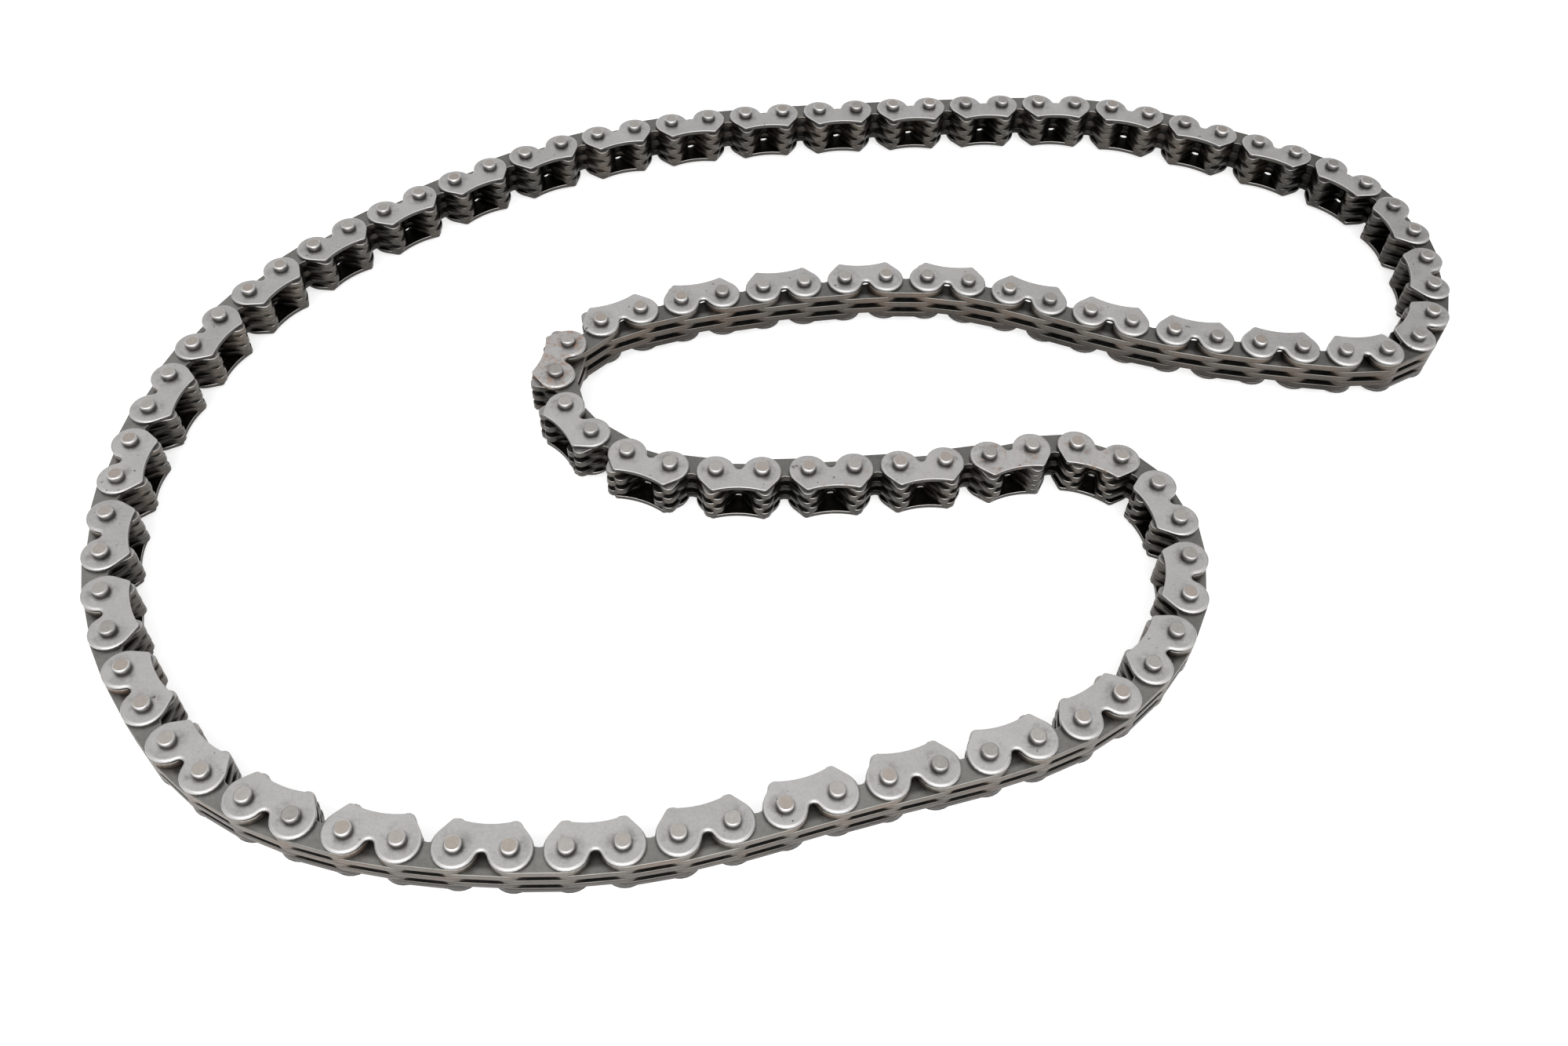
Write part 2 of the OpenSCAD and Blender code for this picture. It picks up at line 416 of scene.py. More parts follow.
@dataclass(frozen=True)
class GuideSteel:
    """Light satin steel of the guide plates: rubbed rims, dirt and a painted shade ring round the pins,
    rust and pits, and painted shade under the toothed plates and on some cut sides.
    """

    name: str = "guide_steel"
    face: Colour = (0.475, 0.465, 0.46)
    rim: Colour = (0.56, 0.55, 0.54)
    side: Colour = (0.19, 0.182, 0.174)
    shaded_side: Colour = (0.07, 0.066, 0.061)
    covered_shade: Colour = (0.035, 0.033, 0.028)
    dirt_and_shade: Colour = (0.15, 0.14, 0.128)
    pit: Colour = (0.07, 0.055, 0.045)
    light_rust: Colour = (0.36, 0.21, 0.13)
    dark_rust: Colour = (0.14, 0.08, 0.055)
    cloud: Pattern = Pattern(0.35, 4.0, 0.6)
    grain: Pattern = Pattern(2.6, 4.0, 0.65, 3.0)
    dirt_and_shade_noise: Pattern = Pattern(0.5, 4.0, 0.7, 7.0)
    rusty: Pattern = Pattern(0.7, 5.0, 0.7, 11.0)
    pitted: Pattern = Pattern(1.3, 2.0, 0.5, 23.0)
    pit_fields: Pattern = Pattern(0.15, 2.0, 0.5, 31.0)
    mottle: Mottle = Mottle(cloud=0.35, grain=0.45, copy=0.05, mean=0.98)
    roughness: float = 0.40
    grain_rough: float = 0.3
    cloud_rough: float = 0.2
    relief: float = 0.004 * MM
    # Painted shade on faces under the toothed plates
    over_lower: Zone = (1.1, 1.4)
    under_upper: Zone = (4.0, 3.0)
    # Cut sides, with painted shade towards the tips and on the lower plate's back, and rubbed rims, dimmed
    # by painted shade on the lower plate's back
    lower_plate: Zone = (2.0, 1.5)
    back: Zone = (0.5, -0.5)
    to_tips: Zone = (-0.4, 1.6)
    rim_cover: float = 0.85
    low_rim_shade: float = 0.6
    # Painted contact shade in a ring round the riveted ends, varied by dirt, and dirt smudges farther out
    shade_ring_reach: Zone = (0.4, -0.05)
    shade_ring_by_dirt: float = 1.4
    shade_ring_least: float = 0.05
    shade_ring_cover: float = 0.8
    smudge_reach: Zone = (1.7, 0.1)
    smudge_zone: Zone = (0.45, 0.70)
    smudge_cover: float = 0.6
    smudge_by_stain: float = 0.5
    stained: Zone = (0.0, 0.4)
    rust_by_stain: float = 0.16
    rust_zone: Zone = (0.62, 0.80)
    rust_cover: float = 0.75
    rust_shades: Zone = (0.35, 0.65)
    rust_dulls: float = 0.8
    rust_roughens: float = 0.35
    rust_lifts: float = 0.6
    pit_zone: Zone = (0.70, 0.75)
    field_by_stain: float = 0.12
    field_zone: Zone = (0.42, 0.60)
    pit_cover: float = 0.8

    def material(self) -> Material:
        """Builds the finish.

        Returns:
            The material.
        """
        make = NodeMaker.for_material(self.name)
        plate, stain = make.plate(), make.mark("stain")
        cloud, grain, dirt_and_shade = (make.noise(pattern) for pattern in (self.cloud, self.grain, self.dirt_and_shade_noise))
        # Painted shade on the lower plates' faces under the toothed plates
        covered_shade = plate.height.between(*self.over_lower) * plate.height.between(*self.under_upper)
        # Painted shade: darker cut sides towards the tips and on the lower plate's back, where the rubbed
        # rims are dimmed too
        low_back_shade = plate.height.between(*self.lower_plate) * plate.y.between(*self.back)
        side = make.mix(plate.y.between(*self.to_tips), self.side, self.shaded_side)
        colour = make.shaded(self.face, self.mottle.lightness(cloud, grain, plate.tone))
        colour = make.mix(covered_shade, colour, self.covered_shade)
        colour = make.mix(plate.edge, colour, make.mix(low_back_shade, side, self.shaded_side))
        colour = make.mix(plate.rim * (self.rim_cover - low_back_shade * self.low_rim_shade), colour, self.rim)
        from_rivet = plate.from_pin() - SIZES.rivet_r / MM
        # Painted contact shade in a ring round each riveted end, broken up by the dirt noise; the smudge
        # below is dirt
        shade_ring = from_rivet.between(*self.shade_ring_reach) * (dirt_and_shade * self.shade_ring_by_dirt + self.shade_ring_least)
        smudge = from_rivet.between(*self.smudge_reach) * dirt_and_shade.between(*self.smudge_zone)
        colour = make.mix(shade_ring * self.shade_ring_cover, colour, self.dirt_and_shade)
        colour = make.mix(smudge * (stain * self.smudge_by_stain + self.smudge_cover), colour, self.dirt_and_shade)
        rust = (make.noise(self.rusty) + stain * self.rust_by_stain).between(*self.rust_zone)
        rust = rust * stain.between(*self.stained)
        rust_colour = make.mix(grain.between(*self.rust_shades), self.light_rust, self.dark_rust)
        fields = (make.noise(self.pit_fields) + stain * self.field_by_stain).between(*self.field_zone)
        pits = make.noise(self.pitted).between(*self.pit_zone) * fields
        colour = make.mix(rust * self.rust_cover, colour, rust_colour)
        rough = grain.swing(self.grain_rough) + cloud.swing(self.cloud_rough) + self.roughness
        shader = {
            "Base Color": make.mix(pits * self.pit_cover, colour, self.pit),
            "Metallic": 1 - rust * self.rust_dulls,
            "Roughness": rough + rust * self.rust_roughens,
        }
        return make.finish(shader, grain + rust * self.rust_lifts, self.relief)


@dataclass(frozen=True)
class ToothedSteel:
    """Darker stamped steel of the toothed plates: rubbed toes and backs, oil and painted shade between the
    plates and the teeth, painted shade towards the table, and painted light on the top plate.
    """

    name: str = "toothed_steel"
    face: Colour = (0.205, 0.202, 0.19)
    back: Colour = (0.178, 0.158, 0.137)
    toe: Colour = (0.105, 0.098, 0.086)
    oily: Colour = (0.021, 0.0195, 0.0165)
    rim: Colour = (0.50, 0.49, 0.465)
    # Lighter face on the top plate towards its toes, where it stands clear of the guide plates: painted
    # light
    tip: Colour = (0.42, 0.41, 0.40)
    glint: Colour = (0.95, 0.93, 0.90)
    brown: Colour = (0.16, 0.105, 0.07)
    cloud: Pattern = Pattern(0.3, 3.0, 0.6, 5.0)
    grain: Pattern = Pattern(1.8, 3.0, 0.65, 13.0)
    browned: Pattern = Pattern(0.14, 4.0, 0.65, 17.0)
    mottle: Mottle = Mottle(cloud=0.5, grain=0.6, copy=0.1, mean=0.97)
    metallic: float = 0.92
    roughness: float = 0.38
    grain_rough: float = 0.3
    relief: float = 0.006 * MM
    toe_zone: Zone = (2.6, 3.4)
    arch_zone: Zone = (-0.7, 0.5)
    tip_zone: Zone = (0.2, 1.4)
    back_zone: Zone = (0.5, -0.5)
    # Oil and painted shade on covered faces, but not on the second plate's behind the pins, which a notch
    # shows
    notch_zone: Zone = (-1.4, -2.2)
    layers_down: Zone = (1.4, 1.1)
    buried_cover: float = 0.7
    buried_in_arch: float = 0.2
    # Painted shade towards the table, and on the loop behind the front strand and past the left bend and in
    # the right corner
    shade: float = 0.88
    toe_unshaded: float = 0.5
    past_front: Zone = (-55.0, -20.0)
    past_middle: Zone = (0.0, 30.0)
    past_left: Zone = (-85.0, -55.0)
    right_corner: Zone = (60.0, 85.0)
    loop_shade: float = 0.22
    corner_shade: float = 0.18
    # Old brown oil on the cut sides
    brown_zone: Zone = (0.44, 0.62)
    brown_cover: float = 0.7
    brown_off_toe: float = 0.35
    brown_off_arch: float = 0.5
    brown_dulls: float = 0.4
    # Rim brightness: wear on the backs and toe tips, a painted highlight on the top plate's rims in the
    # arch, and painted shade that dims lower backs and far toes
    worn_back: Zone = (0.0, -1.0)
    worn_toe: Zone = (3.45, 3.75)
    back_wear: float = 0.37
    arch_sheen: float = 0.3
    far_toe_wear: float = 0.25
    wear_by_grain: float = 0.8
    wear_least: float = 0.5
    wear_cover: float = 0.9
    low_back_rim_shade: float = 0.75
    wear_smooths: float = 0.12
    # Lit spot in the arch, over the second plate's underside
    glint_foot: Zone = (-0.1, 0.0)
    glint_head: Zone = (0.34, 0.2)
    glint_width: Zone = (0.5, 0.3)
    glint_dulls: float = 0.9
    glint_smooths: float = 0.15

    def material(self) -> Material:
        """Builds the finish.

        Returns:
            The material.
        """
        make = NodeMaker.for_material(self.name)
        plate, x, y = make.plate(), make.place("X"), make.place("Y")
        cloud, grain = make.noise(self.cloud), make.noise(self.grain)
        top, layer = SIZES.upper_z / MM, SIZES.layer / MM
        top_plate = plate.height.between(top - layer, top - layer / 2)
        toe = plate.y.between(*self.toe_zone)
        arch = plate.y.between(*self.arch_zone) * (1 - toe)
        # Painted shade on the cut sides, deeper towards the table
        depth = plate.height.between(top, 0.0) * self.shade
        near = 1 - y.between(*self.past_middle)
        # Painted shade on the loop behind the front strand and past the left bend, and in the right corner
        loop_shade = y.between(*self.past_front) * x.between(*self.past_left) * self.loop_shade
        loop_shade = loop_shade + x.between(*self.right_corner) * self.corner_shade
        down = ((top - plate.height) / layer).between(*self.layers_down)
        in_notch = down * plate.y.between(*self.notch_zone)
        # Oil and painted shade on covered faces, strongest in the arch
        buried = (1 - top_plate) * (1 - in_notch) * (arch * self.buried_in_arch + self.buried_cover)
        # Painted light on the top plate's face towards its toes
        tip = plate.y.between(*self.tip_zone) * top_plate
        face = make.mix(buried, make.mix(tip, self.face, self.tip), self.oily)
        # Cut sides darker on the toes and darkest in the arch: oil and painted shade
        side = make.mix(arch, make.mix(toe, self.back, self.toe), self.oily)
        brown = make.noise(self.browned).between(*self.brown_zone) * plate.edge
        cover = brown * (self.brown_cover - toe * self.brown_off_toe - arch * self.brown_off_arch)
        colour = make.mix(cover, make.mix(plate.edge, face, side), self.brown)
        lit = 1 - depth * plate.edge * (1 - toe * self.toe_unshaded)
        colour = make.shaded(colour, self.mottle.lightness(cloud, grain, plate.tone) * lit * (1 - loop_shade))
        # Rim brightness: wear on backs and toe tips, painted highlight on the top plate's arch and flank
        # rims, painted shade dimming lower backs, far toes and the shaded loop
        shaded_toe_wear = (near * (1 - self.far_toe_wear) + self.far_toe_wear) * (1 - loop_shade)
        rubbed_and_sheen = plate.y.between(*self.worn_back) * self.back_wear + arch * top_plate * self.arch_sheen
        rubbed_and_sheen = rubbed_and_sheen + plate.y.between(*self.worn_toe) * shaded_toe_wear
        low_back_shade = depth * plate.y.between(*self.back_zone)
        wear_and_sheen = plate.rim * (grain * self.wear_by_grain + self.wear_least) * rubbed_and_sheen
        wear_and_sheen = wear_and_sheen * (self.wear_cover - low_back_shade * self.low_back_rim_shade)
        height = plate.height - (SIZES.toothed_z + SIZES.layer) / MM
        glint = height.between(*self.glint_foot) * height.between(*self.glint_head)
        glint = plate.edge * glint * arch * plate.from_middle().between(*self.glint_width) * near
        rough = grain.swing(self.grain_rough) + self.roughness
        shader = {
            "Base Color": make.mix(glint, make.mix(wear_and_sheen, colour, self.rim), self.glint),
            "Metallic": self.metallic - brown * self.brown_dulls - glint * self.glint_dulls,
            "Roughness": rough - wear_and_sheen * self.wear_smooths - glint * self.glint_smooths,
        }
        return make.finish(shader, grain, self.relief)


@dataclass(frozen=True)
class PinSteel:
    """Riveted pin ends: warm grey flats inside bright rolled shoulders, with painted shade below the
    shoulders.
    """

    name: str = "pin_steel"
    flat: Colour = (0.50, 0.475, 0.45)
    dull_flat: Colour = (0.36, 0.315, 0.28)
    shoulder: Colour = (0.62, 0.61, 0.60)
    foot: Colour = (0.07, 0.066, 0.06)
    roughness: float = 0.34
    grain: Pattern = Pattern(2.4, 3.0, 0.6, 19.0)
    grain_light: float = 0.4
    tone_light: float = 0.2
    mean_light: float = 0.9
    grain_rough: float = 0.25
    relief: float = 0.005 * MM
    # Painted shade on the pin's side below the rounded end, by the depth below the end
    shaded_foot_depth: Zone = (0.16, 0.40)
    foot_shade_cover: float = 0.8
    dull_tones: Zone = (-0.3, 0.9)
    dull_cover: float = 0.9

    def material(self) -> Material:
        """Builds the finish.

        Returns:
            The material.
        """
        make = NodeMaker.for_material(self.name)
        tone, grain = make.mark("tone"), make.noise(self.grain)
        half = SIZES.pin_z / MM / 2
        depth = half - (make.place("Z") - half).math("ABSOLUTE")
        flat = make.mix(tone.between(*self.dull_tones) * self.dull_cover, self.flat, self.dull_flat)
        colour = make.mix(make.mark("rim"), flat, self.shoulder)
        lightness = grain.swing(self.grain_light) + tone * self.tone_light + self.mean_light
        # Painted shade on the end's side below the shoulder
        foot = depth.between(*self.shaded_foot_depth) * self.foot_shade_cover
        shader = {
            "Base Color": make.mix(foot, make.shaded(colour, lightness), self.foot),
            "Metallic": 1.0,
            "Roughness": grain.swing(self.grain_rough) + self.roughness,
        }
        return make.finish(shader, grain, self.relief)


Finish = GuideSteel | ToothedSteel | PinSteel
Shapes = list[Mesh]


# Shapes


class OutlinePen:
    """Draws a closed outline as a string of edges, with straight stretches and arcs."""

    def __init__(self, start: Vector) -> None:
        """Puts the pen down on the first point, in the plate's plane."""
        self.mesh = bmesh.new()
        self.tip = self.mesh.verts.new(start.to_3d())

    def line_to(self, point: Vector) -> None:
        """Draws a straight edge to the point."""
        self.tip = drawn_to(self.mesh, self.tip, point.to_3d())

    def arc_about(self, centre: Vector, degrees: float, steps: int) -> None:
        """Draws an arc from the pen's place.

        Args:
            centre: the arc's centre.
            degrees: its sweep, anticlockwise if positive.
            steps: its number of edges.
        """
        turned = bmesh.ops.spin(
            self.mesh, geom=[self.tip], cent=centre.to_3d(), axis=(0, 0, 1),
            angle=math.radians(degrees), steps=steps,
        )
        self.tip = next(part for part in turned["geom_last"] if isinstance(part, BMVert))

    def bores(self, radius: float, steps: int) -> None:
        """Adds both bores, with edges outside the round, so that a turning pin stays clear of them.

        Args:
            radius: their radius.
            steps: their number of edges.
        """
        outer = radius / math.cos(math.pi / steps)
        for x in (0, SIZES.pitch):
            at = Matrix.Translation((x, 0, 0))
            bmesh.ops.create_circle(self.mesh, segments=steps, radius=outer, matrix=at)

    def plate(self, thickness: float) -> BMesh:
        """Closes the outline, fills it between its holes and raises it to a plate.

        Args:
            thickness: the plate's thickness.

        Returns:
            The plate, with its underside at height 0.
        """
        mesh = self.mesh
        bmesh.ops.remove_doubles(mesh, verts=mesh.verts[:], dist=WELD)
        filled = bmesh.ops.triangle_fill(mesh, edges=mesh.edges[:], use_beauty=True, use_dissolve=True)
        faces = [part for part in filled["geom"] if isinstance(part, BMFace)]
        raised = bmesh.ops.extrude_face_region(mesh, geom=faces)
        top = [part for part in raised["geom"] if isinstance(part, BMVert)]
        bmesh.ops.translate(mesh, vec=(0, 0, thickness), verts=top)
        bmesh.ops.recalc_face_normals(mesh, faces=mesh.faces[:])
        return mesh


def drawn_to(mesh: BMesh, start: BMVert, point: Vector) -> BMVert:
    """Draws one edge.

    Args:
        mesh: the mesh.
        start: the edge's first corner.
        point: where it ends.

    Returns:
        Its far corner.
    """
    grown = bmesh.ops.extrude_vert_indiv(mesh, verts=[start])["verts"][0]
    grown.co = point
    return grown


def stored(mesh: BMesh, name: str) -> Mesh:
    """Ends work on a mesh.

    Args:
        mesh: the mesh.
        name: the name to keep it under.

    Returns:
        The kept mesh.
    """
    data = bpy.data.meshes.new(name)
    mesh.to_mesh(data)
    mesh.free()
    return data


def rim_edges(mesh: BMesh, side: Side) -> list[BMEdge]:
    """Finds the outer rim on one side of a plate.

    Args:
        mesh: the plate.
        side: which flat side.

    Returns:
        The rim's edges.
    """
    found = []
    pins = (Vector((0, 0)), Vector((SIZES.pitch, 0)))
    for edge in mesh.edges:
        flat = [face for face in edge.link_faces if face.normal.z * side.value > FLAT]
        upright = [face for face in edge.link_faces if abs(face.normal.z) < UPRIGHT]
        middle = (edge.verts[0].co + edge.verts[1].co).to_2d() / 2
        if flat and upright and min((middle - pin).length for pin in pins) > BORE_REACH:
            found.append(edge)
    return found


@dataclass(frozen=True)
class Rounding:
    """How a rim is rounded: widest on the lobes, narrower from a distance in pitches towards the teeth."""

    width: float
    steps: int = 1
    at_teeth: float = 1.0
    depth: float = 1.0
    narrows_from: float = 0.05
    narrows_over: float = 0.35

    def share(self, y: float) -> float:
        """Width at a distance from the pins towards the teeth, as a share of the widest."""
        along = min(max((y / SIZES.pitch - self.narrows_from) / self.narrows_over, 0.0), 1.0)
        return 1 + (self.at_teeth - 1) * along * along * (3 - 2 * along)


def nearest(point: Vector, outline: list[tuple[Vector, Vector]]) -> Vector:
    """The place on an outline that is nearest to a point.

    Args:
        point: the point, in the plate's plane.
        outline: the outline's edges.

    Returns:
        The nearest place.
    """
    found = []
    for start, end in outline:
        _, share = intersect_point_line(point, start, end)
        found.append(start.lerp(end, min(max(share, 0.0), 1.0)))
    return min(found, key=lambda place: (place - point).length)


def round_rims(mesh: BMesh, roundings: dict[Side, Rounding]) -> None:
    """Rounds a plate's outer rims, not its bores', and marks the rounded faces and the cut sides.

    Args:
        mesh: the plate.
        roundings: the rounding on each side.
    """
    rim = mesh.faces.layers.float.new("rim")
    edge = mesh.faces.layers.float.new("edge")
    for face in mesh.faces:
        face[edge] = 1.0 if abs(face.normal.z) < UPRIGHT else 0.0
    for side, rounding in roundings.items():
        rims = rim_edges(mesh, side)
        outline = [tuple(vert.co.to_2d() for vert in part.verts) for part in rims]
        level = rims[0].verts[0].co.z
        made = bmesh.ops.bevel(
            mesh, geom=rims, offset=rounding.width, segments=rounding.steps,
            profile=0.5, affect="EDGES", material=-1, clamp_overlap=False,
        )
        for face in made["faces"]:
            face[rim] = 1.0
            face[edge] = 0.0
        for vert in {vert for face in made["faces"] for vert in face.verts}:
            foot = nearest(vert.co.to_2d(), outline)
            share = rounding.share(foot.y)
            vert.co.xy = foot.lerp(vert.co.to_2d(), share)
            vert.co.z = level + (vert.co.z - level) * share * rounding.depth
    for face in mesh.faces:
        face.smooth = abs(face.normal.z) < LEVEL


def mark_plate_place(mesh: BMesh) -> None:
    """Writes each corner's place on the plate, in millimetres, into the mesh's UV map.

    Args:
        mesh: the plate.
    """
    place = mesh.loops.layers.uv.new(UV_NAME)
    for face in mesh.faces:
        for loop in face.loops:
            loop[place].uv = loop.vert.co.to_2d() / MM


def touch_angle(first: Vector, first_r: float, second: Vector, second_r: float) -> float:
    """Direction in radians from each of two circles' centres to where one straight line touches both."""
    way = second - first
    return math.atan2(way.y, way.x) + math.acos((first_r - second_r) / way.length)


def on_circle(centre: Vector, radius: float, angle: float) -> Vector:
    """The point of a circle in a direction given in radians."""
    return centre + radius * Vector((math.cos(angle), math.sin(angle)))


def across(point: Vector) -> Vector:
    """The same point of the plate's other half."""
    return Vector((SIZES.pitch - point.x, point.y))


@dataclass
class GuideShape:
    """Outline of a guide plate: two lobes, a notch between them, leaning flanks and a hollow edge."""

    tip_depth: float = 0.55 * PITCH
    flare: float = 0.045 * PITCH
    tip_r: float = 0.09 * PITCH
    hollow: float = 0.465 * PITCH
    notch: float = 0.06 * PITCH
    lobe_steps: int = 15
    tip_steps: int = 4
    hollow_steps: int = 8
    notch_steps: int = 5
    bore_steps: int = 16
    rolled: Rounding = Rounding(width=0.34 * MM, steps=3, at_teeth=0.32, depth=0.8)
    burr: Rounding = Rounding(width=0.05 * MM)

    def outline(self) -> OutlinePen:
        """Draws the outline, from the notch round the left half and back round the right, and the bores.

        Returns:
            The pen.
        """
        half, lobe_r = SIZES.pitch / 2, SIZES.lobe_r
        pin, tip = Vector((0, 0)), Vector((-self.flare, self.tip_depth - self.tip_r))
        notch_r = (half * half + self.notch**2 - lobe_r**2) / (2 * (lobe_r - self.notch))
        notch = Vector((half, -self.notch - notch_r))
        drop, reach = self.tip_depth - self.hollow, half + self.flare
        hollow_r = (reach * reach + drop * drop) / (2 * drop)
        hollow = Vector((half, self.hollow + hollow_r))
        flank = touch_angle(pin, lobe_r, tip, self.tip_r)
        lobe_start = math.atan2(notch.y, notch.x)
        tip_end = 2 * math.atan2(hollow.y - tip.y, hollow.x - tip.x) - math.pi / 2
        hollow_start = on_circle(tip, self.tip_r, tip_end)
        lobe_sweep = math.degrees(lobe_start - flank) % 360
        tip_sweep = math.degrees(flank - tip_end)
        hollow_sweep = 2 * math.degrees(math.asin((half - hollow_start.x) / hollow_r))
        notch_sweep = 180 - 2 * math.degrees(math.atan2(-notch.y, half))
        pen = OutlinePen(on_circle(pin, lobe_r, lobe_start))
        pen.arc_about(pin, -lobe_sweep, self.lobe_steps)
        pen.line_to(on_circle(tip, self.tip_r, flank))
        pen.arc_about(tip, -tip_sweep, self.tip_steps)
        pen.arc_about(hollow, hollow_sweep, self.hollow_steps)
        pen.arc_about(across(tip), -tip_sweep, self.tip_steps)
        pen.line_to(across(on_circle(pin, lobe_r, flank)))
        pen.arc_about(across(pin), -lobe_sweep, self.lobe_steps)
        pen.arc_about(notch, notch_sweep, self.notch_steps)
        pen.bores(SIZES.pin_r, self.bore_steps)
        return pen

    def build(self, rolled_side: Side) -> Mesh:
        """Makes the plate at its first pin, with its underside at height 0.

        Args:
            rolled_side: the side whose rims are rounded by stamping.

        Returns:
            The plate's mesh.
        """
        mesh = self.outline().plate(SIZES.guide_t)
        round_rims(mesh, {rolled_side: self.rolled, Side(-rolled_side.value): self.burr})
        mark_plate_place(mesh)
        return stored(mesh, "guide_plate")


@dataclass
class ToothedShape:
    """Outline of a toothed plate: straight back, round ends and two toes with an arch between them."""

    toe_depth: float = 0.605 * PITCH
    toe_inset: float = 0.04 * PITCH
    toe_r: float = 0.15 * PITCH
    arch_top: float = 0.08 * PITCH
    arch_r: float = 0.21 * PITCH
    lobe_steps: int = 8
    toe_steps: int = 4
    arch_steps: int = 6
    bore_steps: int = 12
    rolled: Rounding = Rounding(width=0.07 * MM)

    def outline(self) -> OutlinePen:
        """Draws the outline, from the back round the left half and back round the right, and the bores.

        Returns:
            The pen.
        """
        pin, lobe_r = Vector((0, 0)), SIZES.lobe_r
        toe = Vector((self.toe_inset, self.toe_depth - self.toe_r))
        arch = Vector((SIZES.pitch / 2, self.arch_top + self.arch_r))
        flank = touch_angle(pin, lobe_r, toe, self.toe_r)
        way = arch - toe
        inner = math.atan2(way.y, way.x) + math.acos((self.toe_r + self.arch_r) / way.length)
        lobe_sweep = 270 - math.degrees(flank)
        toe_sweep = math.degrees(flank - inner)
        arch_sweep = math.degrees(-2 * inner - math.pi) % 360
        pen = OutlinePen(Vector((0, -lobe_r)))
        pen.arc_about(pin, -lobe_sweep, self.lobe_steps)
        pen.line_to(on_circle(toe, self.toe_r, flank))
        pen.arc_about(toe, -toe_sweep, self.toe_steps)
        pen.line_to(on_circle(arch, self.arch_r, inner + math.pi))
        pen.arc_about(arch, arch_sweep, self.arch_steps)
        pen.line_to(across(on_circle(toe, self.toe_r, inner)))
        pen.arc_about(across(toe), -toe_sweep, self.toe_steps)
        pen.line_to(across(on_circle(pin, lobe_r, flank)))
        pen.arc_about(across(pin), -lobe_sweep, self.lobe_steps)
        pen.line_to(Vector((0, -lobe_r)))
        pen.bores(SIZES.pin_r + SIZES.running_gap, self.bore_steps)
        return pen

    def build(self) -> Mesh:
        """Makes the plate at its first pin, with its underside at height 0.

        Returns:
            The plate's mesh.
        """
        mesh = self.outline().plate(SIZES.toothed_t)
        round_rims(mesh, {Side.UPPER: self.rolled})
        mark_plate_place(mesh)
        return stored(mesh, "toothed_plate")


@dataclass
class PinShape:
    """Pin with a riveted end above and below.

    The end's profile is radii and depths in millimetres. Hammering leaves the ends unround by a share of
    their radius, in a few waves round the pin.
    """

    end_profile: tuple[tuple[float, float], ...] = (
        (0.88, 0.0),
        (0.97, 0.045),
        (1.03, 0.13),
        (1.065, 0.28),
        (1.075, 0.45),
    )
    turns: int = 20
    unround: float = 0.03
    waves: tuple[int, ...] = (3, 4, 5)

    def build(self, seed: int) -> Mesh:
        """Makes the pin with its lower end at height 0.

        Args:
            seed: sets the small unroundness of the riveted ends.

        Returns:
            The pin's mesh.
        """
        mesh = bmesh.new()
        half = SIZES.pin_z / 2
        tip = mesh.verts.new((0, 0, -half))
        corners = [(radius * MM, depth * MM) for radius, depth in self.end_profile]
        corners += [(SIZES.rivet_r, SIZES.rivet_h), (SIZES.pin_r, SIZES.rivet_h), (SIZES.pin_r, half)]
        for radius, height in corners:
            tip = drawn_to(mesh, tip, Vector((radius, 0, height - half)))
        bmesh.ops.mirror(mesh, geom=mesh.verts[:] + mesh.edges[:], axis="Z")
        bmesh.ops.spin(
            mesh, geom=mesh.verts[:] + mesh.edges[:], axis=(0, 0, 1),
            angle=2 * math.pi, steps=self.turns, use_merge=True,
        )
        bmesh.ops.remove_doubles(mesh, verts=mesh.verts[:], dist=WELD)
        bmesh.ops.recalc_face_normals(mesh, faces=mesh.faces[:])
        bmesh.ops.translate(mesh, vec=(0, 0, half), verts=mesh.verts[:])
        self.mark(mesh)
        self.strike(mesh, seed)
        return stored(mesh, "rivet_pin")

    @staticmethod
    def mark(mesh: BMesh) -> None:
        """Marks all but the ends' flats as rubbed bright.

        Args:
            mesh: the pin.
        """
        rim = mesh.faces.layers.float.new("rim")
        for face in mesh.faces:
            flat = abs(face.normal.z) > LEVEL
            face[rim] = 0.0 if flat else 1.0
            face.smooth = not flat

    def strike(self, mesh: BMesh, seed: int) -> None:
        """Makes the riveted ends a little unround.

        Args:
            mesh: the pin.
            seed: sets the unroundness.
        """
        draw = random.Random(seed)
        phases = {wave: draw.uniform(0, 2 * math.pi) for wave in self.waves}
        for vert in mesh.verts:
            depth = min(vert.co.z, SIZES.pin_z - vert.co.z)
            if depth > SIZES.rivet_h - WELD:
                continue
            angle = math.atan2(vert.co.y, vert.co.x)
            pull = sum(math.sin(wave * angle + phase) for wave, phase in phases.items()) / len(phases)
            vert.co.xy = vert.co.xy * (1 - self.unround * (1 + pull) / 2)


# The chain


@dataclass
class Segment:
    """One rigid run of links: its body and its pins in order, with the next run's first pin at the end."""

    body: str
    number: str
    pins: list[Vector]
    first_guide: int

    def links(self, kind: Link) -> Iterator[tuple[int, Vector, Vector]]:
        """Each link of a kind: the number of the guide link at or before it, and its two pins."""
        for i in range(kind.value, len(self.pins) - 1, 2):
            yield self.first_guide + i // 2, self.pins[i], self.pins[i + 1]


